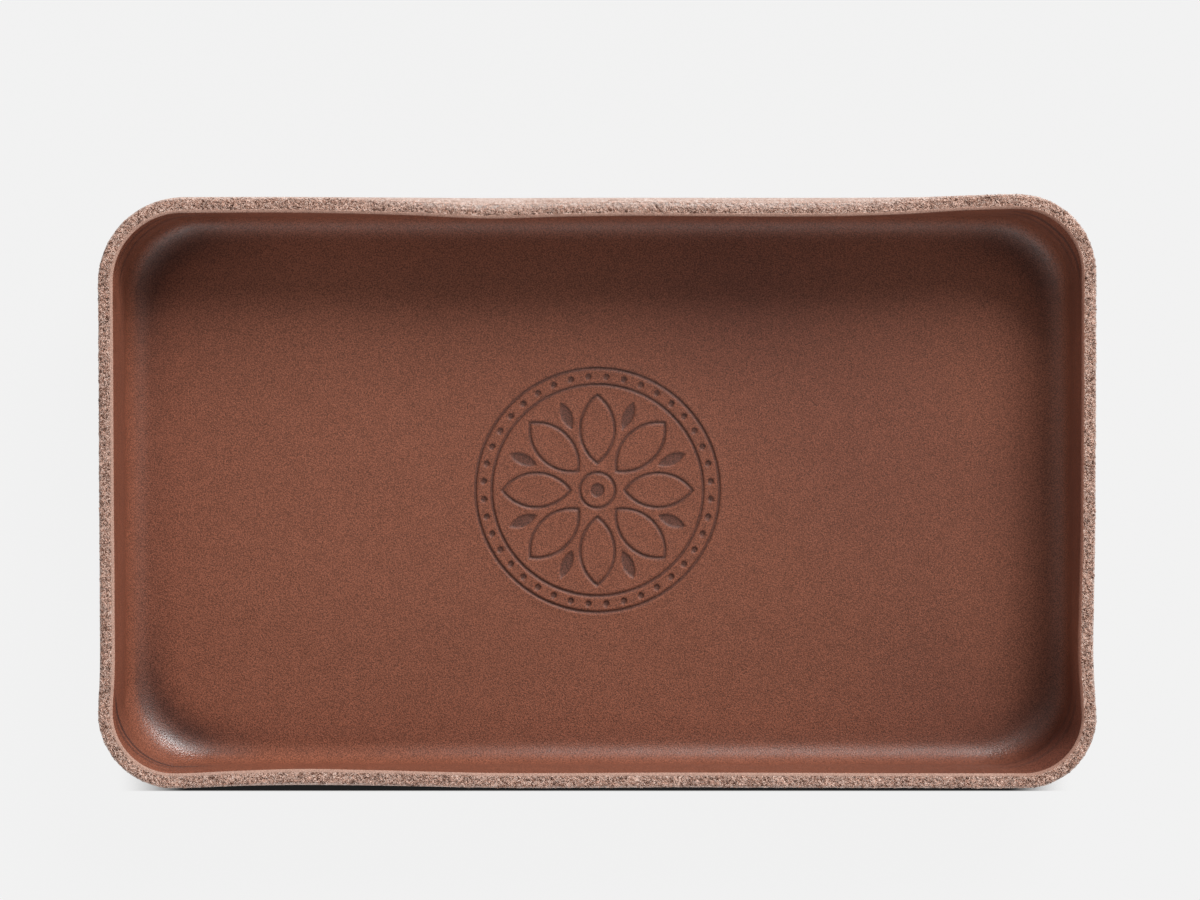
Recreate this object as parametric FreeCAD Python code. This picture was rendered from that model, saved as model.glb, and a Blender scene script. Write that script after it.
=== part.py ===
import FreeCAD, Part
import math
import os

# Valet tray: one blank of thick leather, wet-moulded into a shallow open tray and cut level at the rim.
# The hide is modelled in the layers that show at the cut rim, each nested in the next.
# Millimetres. X runs along the tray, Y across it and Z up. The origin is the centre of the underside.

# Outside of the tray, measured over the rim
tray_length = 216.0
tray_width = 128.5
tray_height = 25.0

# Layers of the hide, from the inside out
grain_thickness = 0.8
fibre_thickness = 2.1
flesh_thickness = 0.4

# Inside face: the bend between floor and wall along the sides and in the corners, the radius of the corners
# at the foot of the wall and at the rim, and the flare of each wall
side_bend_radius = 4.6
corner_bend_radius = 7.7
foot_corner_radius = 16.0
rim_corner_radius = 13.5
wall_flare = 0.6

# Hand-moulded corners, from the front left anticlockwise: shares of corner_bend_radius, foot_corner_radius
# and rim_corner_radius, and how far each leans in across the tray as a share of rim_dip
corner_bend_shares = (1.0, 0.8, 0.76, 0.74)
foot_corner_shares = (0.86, 1.06, 1.0, 1.03)
rim_corner_shares = (0.97, 0.91, 1.02, 1.1)
corner_lean_shares = (0, 0, 0, 0.5)

# Waves of the rim: how far a wall that sprang back leans in at most
rim_dip = 1.7

# Place along each side and depth of the rim's waves there, as shares of the side and of rim_dip
front_wave_shares = ((0.08, 0.35), (0.15, 0.56), (0.23, 0.42), (0.36, 0.08), (0.6, 0.1), (0.85, 0.02))
right_wave_shares = ((0.04, 0.15), (0.13, 0.45), (0.25, 0.36), (0.4, 0.16), (0.6, 0.08), (0.85, 0.02))
back_wave_shares = (
    (0.07, 0.18), (0.13, 0.56), (0.2, 0.78), (0.27, 0.82), (0.38, 0.72),
    (0.47, 0.64), (0.54, 0.7), (0.63, 0.9), (0.73, 0.42), (0.85, 0.06),
)
left_wave_shares = ((0.2, 0.06), (0.5, 0.14), (0.75, 0.24), (0.92, 0.22))

# Design pressed into the floor: petals round a ringed centre, inside a double ring with beads
stamp_depth = 0.35
stamp_line = 0.6
petal_count = 8
petal_inner_radius = 5.6
petal_outer_radius = 21.4
petal_width = 8.2
leaf_inner_radius = 14.6
leaf_outer_radius = 21.0
leaf_width = 2.4
centre_ring_radius = 3.9
centre_dot_radius = 1.5
inner_ring_radius = 23.4
outer_ring_radius = 27.0
bead_count = 40
bead_radius = 0.65

# How far cutting shapes run past what they cut
overrun = 2.0

# Sections of the loft: steps round the bend, and heights up the wall as shares of it
bend_steps = 5
wall_height_shares = (0.35, 0.7, 1.0)

leather_thickness = grain_thickness + fibre_thickness + flesh_thickness
foot_half_length = tray_length / 2 - leather_thickness - wall_flare
foot_half_width = tray_width / 2 - leather_thickness - wall_flare
foot_height = leather_thickness + corner_bend_radius
wall_height = tray_height - foot_height


def side(start, end, forward, inward, waves, dip):
    """One side of an outline, straight but for the waves that lean in, and tangent to both corners."""
    along = end - start
    points = [start]
    for place_share, depth_share in waves:
        points.append(start + along * place_share + inward * (dip * depth_share))
    points.append(end)
    curve = Part.BSplineCurve()
    curve.interpolate(Points=points, InitialTangent=forward, FinalTangent=forward)
    return curve.toShape()


def corner(centre, radius, turn):
    """Quarter circle of an outline, starting after the given number of quarter turns."""
    points = []
    for half_quarter in (0, 1, 2):
        angle = math.radians(90 * turn + 45 * half_quarter)
        points.append(centre + FreeCAD.Vector(math.cos(angle), math.sin(angle), 0) * radius)
    return Part.Arc(*points).toShape()


def outline(half_length, half_width, radii, leans, height, dip):
    """Closed outline of the tray at one height, anticlockwise from the front left corner."""
    centres = []
    for sign_x, sign_y, radius, lean in zip((-1, 1, 1, -1), (-1, -1, 1, 1), radii, leans):
        centres.append(FreeCAD.Vector(
            sign_x * (half_length - radius),
            sign_y * (half_width - radius - lean),
            height,
        ))
    waves = (front_wave_shares, right_wave_shares, back_wave_shares, left_wave_shares)
    outward = FreeCAD.Vector(0, -1, 0)
    forward = FreeCAD.Vector(1, 0, 0)
    edges = []
    for number in range(4):
        after = (number + 1) % 4
        start = centres[number] + outward * radii[number]
        end = centres[after] + outward * radii[after]
        edges.append(side(start, end, forward, -outward, waves[number], dip))
        edges.append(corner(centres[after], radii[after], number - 1))
        outward, forward = forward, -outward
    return Part.Wire(edges)


def bend_inset(radius, rise):
    """How far a bend lies inside its wall at a rise above the floor."""
    left = max(radius - rise, 0)
    return radius - math.sqrt(radius ** 2 - left ** 2)


def bend_section(offset, angle):
    """Outline of the bend where its widest corner turned up by angle, on the face moved outwards by offset."""
    rise = (corner_bend_radius + offset) * (1 - math.cos(angle))
    side_inset = bend_inset(side_bend_radius + offset, rise)
    diagonal = math.sqrt(2)
    radii = []
    for bend_share, corner_share in zip(corner_bend_shares, foot_corner_shares):
        corner_inset = bend_inset(corner_bend_radius * bend_share + offset, rise)
        spread = (corner_inset - diagonal * side_inset) / (diagonal - 1)
        radii.append(foot_corner_radius * corner_share + offset + spread)
    return outline(
        foot_half_length + offset - side_inset,
        foot_half_width + offset - side_inset,
        radii,
        [0] * 4,
        leather_thickness - offset + rise,
        0,
    )


def wall_section(offset, height_share):
    """Outline of the wall at a share of its height, on the inside face moved outwards by offset."""
    out = offset + wall_flare * height_share
    dip = rim_dip * height_share ** 4
    radii = []
    for foot_share, rim_share in zip(foot_corner_shares, rim_corner_shares):
        foot_radius = foot_corner_radius * foot_share
        growth = rim_corner_radius * rim_share - foot_radius
        radii.append(foot_radius + growth * height_share + offset)
    return outline(
        foot_half_length + out,
        foot_half_width + out,
        radii,
        [dip * lean_share for lean_share in corner_lean_shares],
        foot_height + wall_height * height_share,
        dip,
    )


def bowl(offset):
    """Solid bounded by the inside face moved outwards by offset, reaching past the rim."""
    past_rim_share = 1 + overrun / wall_height
    sections = [bend_section(offset, math.radians(90 * step / bend_steps)) for step in range(bend_steps + 1)]
    sections += [wall_section(offset, share) for share in wall_height_shares + (past_rim_share,)]
    return Part.makeLoft(sections, True)


def layer(inner_offset, thickness):
    """One layer of the hide, cut level at the rim."""
    shell = bowl(inner_offset + thickness).cut(bowl(inner_offset))
    corner_point = FreeCAD.Vector(-tray_length, -tray_width, -overrun)
    below_rim = Part.makeBox(2 * tray_length, 2 * tray_width, tray_height + overrun, corner_point)
    return shell.common(below_rim).Solids[0]


def pressed(face):
    """Solid that presses a flat shape into the floor."""
    face.translate(FreeCAD.Vector(0, 0, leather_thickness - stamp_depth))
    return face.extrude(FreeCAD.Vector(0, 0, stamp_depth + overrun))


def disc(radius, x=0):
    """Round flat shape."""
    return Part.Face(Part.Wire(Part.makeCircle(radius, FreeCAD.Vector(x, 0, 0))))


def ring(radius):
    """Circular line of the stamp's width, drawn about its middle."""
    return disc(radius + stamp_line / 2).cut(disc(radius - stamp_line / 2)).Faces[0]


def lens(middle, half_length, half_width):
    """Pointed oval along X, between two arcs."""
    inner_tip = FreeCAD.Vector(middle - half_length, 0, 0)
    outer_tip = FreeCAD.Vector(middle + half_length, 0, 0)
    upper = Part.Arc(outer_tip, FreeCAD.Vector(middle, half_width, 0), inner_tip)
    lower = Part.Arc(inner_tip, FreeCAD.Vector(middle, -half_width, 0), outer_tip)
    return Part.Face(Part.Wire([upper.toShape(), lower.toShape()]))


def petal():
    """Outline of one petal as a line of the stamp's width."""
    middle = (petal_inner_radius + petal_outer_radius) / 2
    half_length = (petal_outer_radius - petal_inner_radius) / 2
    half_width = petal_width / 2
    arc_radius = (half_length ** 2 + half_width ** 2) / (2 * half_width)
    inner_half_length = math.sqrt((arc_radius - stamp_line) ** 2 - (arc_radius - half_width) ** 2)
    inner = lens(middle, inner_half_length, half_width - stamp_line)
    return lens(middle, half_length, half_width).cut(inner).Faces[0]


def leaf():
    """Small solid leaf between two petals, shown along X."""
    middle = (leaf_inner_radius + leaf_outer_radius) / 2
    return lens(middle, (leaf_outer_radius - leaf_inner_radius) / 2, leaf_width / 2)


def round_centre(shape, count, first_share):
    """Copies of a shape spread evenly round the middle, the first turned by a share of one step."""
    copies = []
    for number in range(count):
        copy = shape.copy()
        turn = 360 * (number + first_share) / count
        copy.rotate(FreeCAD.Vector(0, 0, 0), FreeCAD.Vector(0, 0, 1), turn)
        copies.append(copy)
    return copies


def stamp():
    """All the solids that press the design into the floor."""
    half_step_share = 0.5
    bead = disc(bead_radius, (inner_ring_radius + outer_ring_radius) / 2)
    faces = [disc(centre_dot_radius)]
    faces += [ring(radius) for radius in (centre_ring_radius, inner_ring_radius, outer_ring_radius)]
    faces += round_centre(petal(), petal_count, 0)
    faces += round_centre(leaf(), petal_count, half_step_share)
    faces += round_centre(bead, bead_count, half_step_share)
    return [pressed(face) for face in faces]


layers = {
    "grain_layer": layer(0, grain_thickness).cut(stamp()).Solids[0],
    "fibre_layer": layer(grain_thickness, fibre_thickness),
    "flesh_layer": layer(grain_thickness + fibre_thickness, flesh_thickness),
}

os.makedirs("parts", exist_ok=True)
for name, solid in layers.items():
    solid.exportStep(f"parts/{name}.step")
    box = solid.optimalBoundingBox(False)
    print(f"{name}: valid {solid.isValid()}, volume {solid.Volume:.1f}, faces {len(solid.Faces)}, "
          f"X {box.XMin:.3f} {box.XMax:.3f}, Y {box.YMin:.3f} {box.YMax:.3f}, "
          f"Z {box.ZMin:.3f} {box.ZMax:.3f}")
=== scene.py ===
"""Valet tray of thick moulded leather: the finished look of its three layers, on a plain studio stage."""
import math

import bmesh
import bpy
import numpy as np
from bpy.props import FloatProperty, FloatVectorProperty, IntProperty, PointerProperty
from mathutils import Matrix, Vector, noise
from mathutils.geometry import delaunay_2d_cdt


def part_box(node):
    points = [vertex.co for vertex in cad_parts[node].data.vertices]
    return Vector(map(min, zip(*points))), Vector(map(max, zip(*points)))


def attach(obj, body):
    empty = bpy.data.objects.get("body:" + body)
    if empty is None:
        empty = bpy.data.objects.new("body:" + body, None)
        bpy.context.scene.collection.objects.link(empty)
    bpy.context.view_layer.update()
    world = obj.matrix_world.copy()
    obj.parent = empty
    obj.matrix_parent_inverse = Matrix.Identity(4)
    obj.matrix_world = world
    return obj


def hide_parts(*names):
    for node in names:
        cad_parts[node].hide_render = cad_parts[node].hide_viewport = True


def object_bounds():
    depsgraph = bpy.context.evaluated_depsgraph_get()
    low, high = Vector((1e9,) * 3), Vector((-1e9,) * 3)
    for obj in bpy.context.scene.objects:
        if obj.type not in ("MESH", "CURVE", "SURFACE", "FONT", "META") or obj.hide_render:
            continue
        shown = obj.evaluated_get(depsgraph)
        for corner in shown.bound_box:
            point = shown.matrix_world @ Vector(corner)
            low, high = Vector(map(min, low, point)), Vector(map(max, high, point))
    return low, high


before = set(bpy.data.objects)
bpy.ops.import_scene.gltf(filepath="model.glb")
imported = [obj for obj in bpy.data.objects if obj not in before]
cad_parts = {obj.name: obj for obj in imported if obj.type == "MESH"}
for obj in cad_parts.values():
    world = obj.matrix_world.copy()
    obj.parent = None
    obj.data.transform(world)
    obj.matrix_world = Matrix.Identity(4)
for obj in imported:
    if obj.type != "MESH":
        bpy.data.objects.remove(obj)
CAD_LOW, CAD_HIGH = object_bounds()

bl_info = {
    "name": "Valet tray",
    "version": (1, 0, 0),
    "blender": (4, 5, 0),
    "location": "3D View > Sidebar > Valet tray",
    "description": "Builds a wet-moulded leather valet tray in the layers of its hide",
    "category": "Add Mesh",
}

MM = 0.001

# Place along each side and depth of the rim's waves there, as shares of the side and of the rim's dip
FRONT_WAVE_SHARES = ((0.08, 0.35), (0.15, 0.56), (0.23, 0.42), (0.36, 0.08), (0.6, 0.1), (0.85, 0.02))
RIGHT_WAVE_SHARES = ((0.04, 0.15), (0.13, 0.45), (0.25, 0.36), (0.4, 0.16), (0.6, 0.08), (0.85, 0.02))
BACK_WAVE_SHARES = (
    (0.07, 0.18), (0.13, 0.56), (0.2, 0.78), (0.27, 0.82), (0.38, 0.72),
    (0.47, 0.64), (0.54, 0.7), (0.63, 0.9), (0.73, 0.42), (0.85, 0.06),
)
LEFT_WAVE_SHARES = ((0.2, 0.06), (0.5, 0.14), (0.75, 0.24), (0.92, 0.22))

# Corners from the front left anticlockwise: shares of the corners' bend radius, of their radius at the foot
# of the wall and at the rim, lean across the tray as a share of the rim's dip, and how deep and how dark
# the floor was rubbed there, the darkness being partly rubbed grain and partly painted shade
CORNER_BEND_SHARES = np.array((1.0, 0.8, 0.76, 0.74))
FOOT_CORNER_SHARES = np.array((0.86, 1.06, 1.0, 1.03))
RIM_CORNER_SHARES = np.array((0.97, 0.91, 1.02, 1.1))
CORNER_LEAN_SHARES = np.array((0, 0, 0, 0.5))
CORNER_MOAT_AND_PAINTED_SHADE_SHARES = (1.0, 0.3, 0.8, 0.8)

# How much the wax shines in each corner, as a share of the brightest, and how far along and across the tray,
# in millimetres, the shine lies from the corner's middle
CORNER_GLOSS_SHARES = (1.0, 0.68, 0.3, 0.85)
CORNER_GLOSS_SHIFTS = ((0.5, -6.0), (-4.0, -5.0), (0.0, 0.0), (4.0, 3.0))
NO_SHIFTS = ((0.0, 0.0),) * 4

# Front, right, back and left: how much the floor was rubbed beside the bend, as a share of the darkest
# corner, its darkness being partly rubbed grain and partly painted shade, how much painted light, or below
# zero painted shade, the wall gets, how far the rim's inner edge is rounded down, as a share of the usual,
# and how much of the pale cut grain shows there, less being painted shade of an edge turned from the light
SIDE_RUB_AND_PAINTED_SHADE_SHARES = (0.16, 0.05, 0.0, 0.2)
WALL_PAINTED_LIGHT_SHARES = (0.0, -0.6, 0.0, 0.5)
INNER_DROP_SHARES = (1.0, 2.0, 1.0, 1.0)
CUT_GRAIN_PAINTED_LIGHT_SHARES = (1.0, 0.16, 0.75, 1.0)

# How much the wax shines in the right, back and left bends, as a share of the brightest. It changes along the
# front bend: place along the tray in millimetres, and share there, which is below zero where it is dull
SIDE_GLOSS_SHARES = (0.6, 0.9, 0.1)
FRONT_GLOSS_SHARES = (
    (-93.0, -0.1), (-88.0, 0.5), (-83.0, -0.2), (-74.0, -0.9), (-52.0, -0.8), (-10.0, 0.5), (20.0, 0.85),
)

# Creases in the corners' walls, in the order of the corners. Each point is its distance along the rim from
# the corner's middle and its depth below the rim, in millimetres, and how strongly the crease shows there,
# in its relief and in its painted shade
DEEP_CREASE = (
    (
        (-14.5, 2.5, 0.0), (-11, 4.5, 1.0), (-5, 7.4, 1.0), (0, 8.8, 0.9), (7, 10, 1.0), (13, 12, 0.8),
        (20, 12, 0.0),
    ),
    ((-20, 16, 0.0), (-10, 15, 0.4), (0, 14, 0.5), (9, 13.5, 0.4), (17, 12, 0.0)),
    ((-15, 1.5, 0.0), (-8, 4, 0.7), (0, 5.6, 0.9), (8, 4.6, 0.7), (17, 3, 0.0)),
    ((-20, 15, 0.0), (-9, 12, 0.5), (0, 10, 0.6), (8, 9.6, 0.5), (14, 9, 0.0)),
)
SIDE_CREASE = (
    ((-11, 2, 0.0), (-6, 4, 0.6), (0, 5.8, 0.6), (6, 7.2, 0.5), (12, 9, 0.0)),
    ((-12, 9, 0.0), (-5, 9, 0.5), (3, 8.6, 0.5), (9, 7.6, 0.4), (14, 6, 0.0)),
    ((-10, 9, 0.0), (-4, 9, 0.6), (2, 9.2, 0.6), (9, 8.8, 0.4), (14, 9, 0.0)),
    ((-13, 8, 0.0), (-6, 6.6, 0.5), (0, 5.4, 0.5), (6, 4.4, 0.4), (11, 4, 0.0)),
)
CREASES = {"deep_crease": DEEP_CREASE, "side_crease": SIDE_CREASE}

# Nicks in the cut rim: distance round from the front left, distance across the hide, and slant, in
# millimetres, and depth as a share of the nick's depth
NICKS = (
    (399.0, 2.0, 0.7, 1.0), (300.0, 3.1, 0.1, 0.7), (214.0, 3.1, -0.2, 0.6), (108.0, 3.0, 0.3, 0.5),
    (552.0, 2.9, 0.2, 0.5),
)

# Where the rim's outer edge is rolled: distances round from the front left, in millimetres, at which the
# roll starts, is full, starts to fade and ends
ROLLED_EDGE = (335.0, 362.0, 440.0, 470.0)

# Patches where the floor is darker, below zero, or lighter, partly uneven dye and partly painted light and
# shade: place along and across the floor and reach, in millimetres, and strength
DYE_AND_PAINTED_LIGHT_PATCHES = (
    (58.0, 11.0, 34.0, -0.45), (-75.0, -33.0, 40.0, 0.8), (-8.0, -29.0, 32.0, 0.4), (20.0, -38.0, 40.0, 0.3),
    (78.0, -49.0, 20.0, -0.5), (97.0, -30.0, 14.0, 0.8), (95.0, 27.0, 14.0, 0.8), (-62.0, 53.0, 22.0, 0.9),
    (30.0, 45.0, 22.0, -0.6), (103.0, -59.0, 10.0, -0.9),
)

# Sides of the tray that meet in each corner: left or right, and front or back
CORNER_SIDES = ((-1, -1), (1, -1), (1, 1), (-1, 1))

# How far the effect of a side, of a corner's rubbed floor with its painted shade and of a corner's shine
# reaches
SIDE_REACH = 8 * MM
MOAT_REACH = 14 * MM
SHINE_REACH = 10 * MM

# Bands of shine along the sides' bends and in the corners: distance past the start of the bend, and width
SIDE_SHINE_BAND = (2 * MM, 2.5 * MM)
CORNER_SHINE_BAND = (4.1 * MM, 2.1 * MM)

# How upright the bend is, from 0 on the floor to 1 at the wall's foot, where the rubbed floor's tone,
# partly painted shade, ends
RUB_AND_PAINTED_SHADE_RISE = 0.06

# Ripples of the torn rim, of its outer edge, of the floor and of the walls: wavelength, octaves and seed
FINE_TEAR = (0.6 * MM, 3, 11)
BROAD_TEAR = (3.5 * MM, 2, 12)
EDGE_TEAR = (1.2 * MM, 3, 13)
FLOOR_SWELLS = (40 * MM, 2, 3)
WALL_SWELLS = (22 * MM, 2, 5)

# Rows of the meshes: shares of the floor's band and of the grain's thickness, how far the bends turn up, in
# degrees, and shares of the wall's height
FLOOR_ROW_SHARES = np.array((1.0, 0.82, 0.66, 0.52, 0.4, 0.3, 0.21, 0.13, 0.06))
GRAIN_RIM_SHARES = np.array((0.0, 0.04, 0.12, 0.25, 0.4, 0.6, 0.8, 1.0))
GRAIN_BEND_ANGLES = np.linspace(0, 82, 11)
GRAIN_WALL_SHARES = np.linspace(0, 1, 19)[:-1]
FLESH_BEND_ANGLES = np.linspace(0, 82, 12)
FLESH_WALL_SHARES = np.linspace(0, 0.93, 30)
HIDDEN_BEND_ANGLES = (0, 30, 60)
HIDDEN_WALL_SHARES = (0.0, 0.3, 0.6, 0.9)
FIBRE_RIM_ROWS = 11
FLESH_RIM_ROWS = 7

# How many times finer than the other layers the fibre's columns are
FIBRE_FINENESS = 2

# Spacing of the floor's and of the underside's points, spacing and least spacing of the points along the
# pressed lines, and how far the floor's points keep from these lines
FLOOR_STEP = 1.8 * MM
UNDERSIDE_STEP = 4 * MM
STAMP_STEP = 0.4 * MM
STAMP_LEAST_STEP = 0.08 * MM
STAMP_MARGIN = 1.2 * MM

# Points along a loose fibre's path, sides of its skin, and points of its whole skin with both tips
PATH_POINTS = 5
FIBRE_SIDES = 3
FIBRE_POINTS = FIBRE_SIDES * (PATH_POINTS - 2) + 2

# Noise of the finishes: features per millimetre, detail, and where they differ from plain noise, roughness
# and distortion
BLOTCHES = (0.3, 4, 0.6, 0.3)
SPECKS = (3.8, 1.5, 0.6)
WALL_STREAKS = (1.0, 4, 0.65)
WALL_STREAK_STRETCH = (0.1, 0.1, 0.5)
PEBBLES = (1.8, 2, 0.6)
PORES_PER_MM = 2.2
MATTING = (2.6, 3, 0.6, 1.3)
FIBRE_PATCHES = (0.3, 3)
FIBRE_STREAKS = (3.0, 2)
NAP = (1.6, 5, 0.65, 0.8)
NAP_PATCHES = (0.08, 4, 0.55)

# Least and greatest value that most of the noise, and of the specks, lies between
NOISE_SPREAD = (0.3, 0.7)
SPECK_SPREAD = (0.25, 0.75)

# Height of the fine relief of pores, specks, pebbles, the walls' streaks, creases, matted fibre and nap
PORE_RELIEF = 0.03 * MM
SPECK_RELIEF = 0.09 * MM
PEBBLE_RELIEF = 0.14 * MM
STREAK_RELIEF = 0.2 * MM
CREASE_RELIEF = 0.12 * MM
MATTING_RELIEF = 0.35 * MM
NAP_RELIEF = 0.2 * MM

# Inputs and output of a node that mixes two colours
MIX_FACTOR, MIX_FIRST, MIX_SECOND, MIX_RESULT = 0, 6, 7, 2


class TrayShape(bpy.types.PropertyGroup):
    """Sizes of the moulded hide that the frame's boxes don't give."""

    grain_thickness: FloatProperty(
        name="Grain thickness", description="Thickness of the smooth inside layer",
        default=0.8 * MM, unit="LENGTH")
    side_bend_radius: FloatProperty(
        name="Side bend radius", description="Inside radius between floor and wall along the sides",
        default=4.6 * MM, unit="LENGTH")
    corner_bend_radius: FloatProperty(
        name="Corner bend radius", description="Inside radius between floor and wall in the widest corner",
        default=7.7 * MM, unit="LENGTH")
    foot_corner_radius: FloatProperty(
        name="Foot corner radius", description="Inside corner radius at the foot of the wall",
        default=16.0 * MM, unit="LENGTH")
    rim_corner_radius: FloatProperty(
        name="Rim corner radius", description="Inside corner radius at the rim",
        default=13.5 * MM, unit="LENGTH")
    wall_flare: FloatProperty(
        name="Wall flare", description="How far the rim stands outside the foot of the wall",
        default=0.6 * MM, unit="LENGTH")
    rim_dip: FloatProperty(
        name="Rim dip", description="How far the rim leans in at most",
        default=1.7 * MM, unit="LENGTH")
    inner_arris: FloatProperty(
        name="Inner arris", description="Width of the rounding of the rim's inner edge",
        default=0.8 * MM, unit="LENGTH")
    inner_drop: FloatProperty(
        name="Inner drop", description="How far the rim's inner edge lies below the rim",
        default=0.45 * MM, unit="LENGTH")
    outer_arris: FloatProperty(
        name="Outer arris", description="Width of the rounding of the rim's outer edge",
        default=0.8 * MM, unit="LENGTH")
    rolled_arris: FloatProperty(
        name="Rolled arris", description="Width of that rounding where the edge is rolled",
        default=2.0 * MM, unit="LENGTH")
    outer_drop: FloatProperty(
        name="Outer drop", description="How far the rim's outer edge lies below the rim",
        default=0.75 * MM, unit="LENGTH")
    corner_moat: FloatProperty(
        name="Corner moat", description="How far the floor is pressed down in the corners",
        default=0.55 * MM, unit="LENGTH")
    moat_width: FloatProperty(
        name="Moat width", description="How far the pressed floor reaches in from the bend",
        default=4.0 * MM, unit="LENGTH")
    floor_swell: FloatProperty(
        name="Floor swell", description="Height of the slow swells in the floor",
        default=0.1 * MM, unit="LENGTH")
    wall_swell: FloatProperty(
        name="Wall swell", description="Height of the slow swells in the walls",
        default=0.15 * MM, unit="LENGTH")
    floor_band: FloatProperty(
        name="Floor band", description="Width of the floor's band of rows beside the bend",
        default=10.0 * MM, unit="LENGTH")
    rim_roughness: FloatProperty(
        name="Rim roughness", description="Height of the torn fibre on the cut rim",
        default=0.24 * MM, unit="LENGTH")
    nick_depth: FloatProperty(
        name="Nick depth", description="Depth of the deepest nick in the rim",
        default=0.6 * MM, unit="LENGTH")
    nick_width: FloatProperty(
        name="Nick width", description="Half width of the nicks in the rim",
        default=0.32 * MM, unit="LENGTH")
    long_columns: IntProperty(
        name="Long columns", description="Mesh columns along each long side", default=380)
    short_columns: IntProperty(
        name="Short columns", description="Mesh columns along each short side", default=196)
    corner_columns: IntProperty(
        name="Corner columns", description="Mesh columns round each corner", default=44)


class LooseFibres(bpy.types.PropertyGroup):
    """Fibre ends that lie matted on the cut rim."""

    matted_count: IntProperty(
        name="Matted", description="Number of fibres that lie on the rim", default=8600)
    edge_count: IntProperty(
        name="Edge", description="Number of fibres at the rim's outer edge", default=1500)
    shortest: FloatProperty(
        name="Shortest", description="Length of the shortest fibre", default=0.45 * MM, unit="LENGTH")
    longest: FloatProperty(
        name="Longest", description="Length of the longest fibre", default=1.5 * MM, unit="LENGTH")
    thinnest: FloatProperty(
        name="Thinnest", description="Radius of the thinnest fibre", default=0.035 * MM, unit="LENGTH")
    thickest: FloatProperty(
        name="Thickest", description="Radius of the thickest fibre", default=0.085 * MM, unit="LENGTH")
    lift: FloatProperty(
        name="Lift", description="How far a fibre's middle stands off the rim",
        default=0.12 * MM, unit="LENGTH")
    seed: IntProperty(
        name="Seed", description="Picks one of the ways in which the fibres can lie", default=7)


class PressedDesign(bpy.types.PropertyGroup):
    """The rosette that is pressed into the floor."""

    depth: FloatProperty(
        name="Depth", description="How deep the design is pressed", default=0.35 * MM, unit="LENGTH")
    line: FloatProperty(
        name="Line", description="Width of the pressed lines", default=0.6 * MM, unit="LENGTH")
    shoulder: FloatProperty(
        name="Shoulder", description="Width of the slope beside a pressed line",
        default=0.3 * MM, unit="LENGTH")
    lip: FloatProperty(
        name="Lip", description="Height that leather swells beside a pressed line",
        default=0.05 * MM, unit="LENGTH")
    petal_count: IntProperty(name="Petals", description="Number of petals and of leaves", default=8)
    petal_inner_radius: FloatProperty(
        name="Petal inner radius", description="Where a petal starts", default=5.6 * MM, unit="LENGTH")
    petal_outer_radius: FloatProperty(
        name="Petal outer radius", description="Where a petal ends", default=21.4 * MM, unit="LENGTH")
    petal_width: FloatProperty(
        name="Petal width", description="Width of a petal", default=8.2 * MM, unit="LENGTH")
    leaf_inner_radius: FloatProperty(
        name="Leaf inner radius", description="Where a leaf starts", default=14.6 * MM, unit="LENGTH")
    leaf_outer_radius: FloatProperty(
        name="Leaf outer radius", description="Where a leaf ends", default=21.0 * MM, unit="LENGTH")
    leaf_width: FloatProperty(
        name="Leaf width", description="Width of a leaf", default=2.4 * MM, unit="LENGTH")
    centre_ring_radius: FloatProperty(
        name="Centre ring", description="Radius of the ring at the middle", default=3.9 * MM, unit="LENGTH")
    centre_dot_radius: FloatProperty(
        name="Centre dot", description="Radius of the dot at the middle", default=1.5 * MM, unit="LENGTH")
    inner_ring_radius: FloatProperty(
        name="Inner ring", description="Radius of the border's inner line", default=23.4 * MM, unit="LENGTH")
    outer_ring_radius: FloatProperty(
        name="Outer ring", description="Radius of the border's outer line", default=27.0 * MM, unit="LENGTH")
    bead_count: IntProperty(name="Beads", description="Number of beads in the border", default=40)
    bead_radius: FloatProperty(
        name="Bead radius", description="Radius of a bead", default=0.65 * MM, unit="LENGTH")


class LeatherFinish(bpy.types.PropertyGroup):
    """Colours of the hide."""

    grain: FloatVectorProperty(
        name="Grain", description="Dyed grain", subtype="COLOR", default=(0.236, 0.078, 0.043))
    # The light and dark grain also paint light and shade on the walls and in some patches of the floor
    grain_light: FloatVectorProperty(
        name="Light grain", description="Paler patches of the grain", subtype="COLOR",
        default=(0.274, 0.092, 0.051))
    grain_dark: FloatVectorProperty(
        name="Dark grain", description="Darker patches of the grain", subtype="COLOR",
        default=(0.168, 0.053, 0.032))
    # The burnished grain is also the painted shade beside the bends and along the creases
    burnished_and_painted_shade: FloatVectorProperty(
        name="Burnished", description="Grain that was rubbed down in the bends", subtype="COLOR",
        default=(0.088, 0.037, 0.028))
    cut_grain: FloatVectorProperty(
        name="Cut grain", description="Close grain where the rim cuts it", subtype="COLOR",
        default=(0.55, 0.335, 0.26))
    fibre: FloatVectorProperty(
        name="Fibre", description="Cut fibre of the rim", subtype="COLOR", default=(0.73, 0.433, 0.327))
    fibre_light: FloatVectorProperty(
        name="Light fibre", description="Loose ends of the fibre", subtype="COLOR",
        default=(0.94, 0.71, 0.61))
    # The dark fibre is painted shade in the rim's pits; loose fibres also take it as their darkest tone
    fibre_dark: FloatVectorProperty(
        name="Dark fibre", description="Pits between the fibres", subtype="COLOR",
        default=(0.13, 0.056, 0.036))
    flesh: FloatVectorProperty(
        name="Flesh", description="Nap of the outside", subtype="COLOR", default=(0.63, 0.47, 0.405))
    # The light flesh also paints the rolled outer edge of the back rim paler, partly its nap, partly painted
    # light
    flesh_light: FloatVectorProperty(
        name="Light flesh", description="Brushed nap of the outside", subtype="COLOR",
        default=(0.84, 0.73, 0.68))
    flesh_dark: FloatVectorProperty(
        name="Dark flesh", description="Rubbed nap of the outside", subtype="COLOR",
        default=(0.42, 0.265, 0.21))


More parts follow.
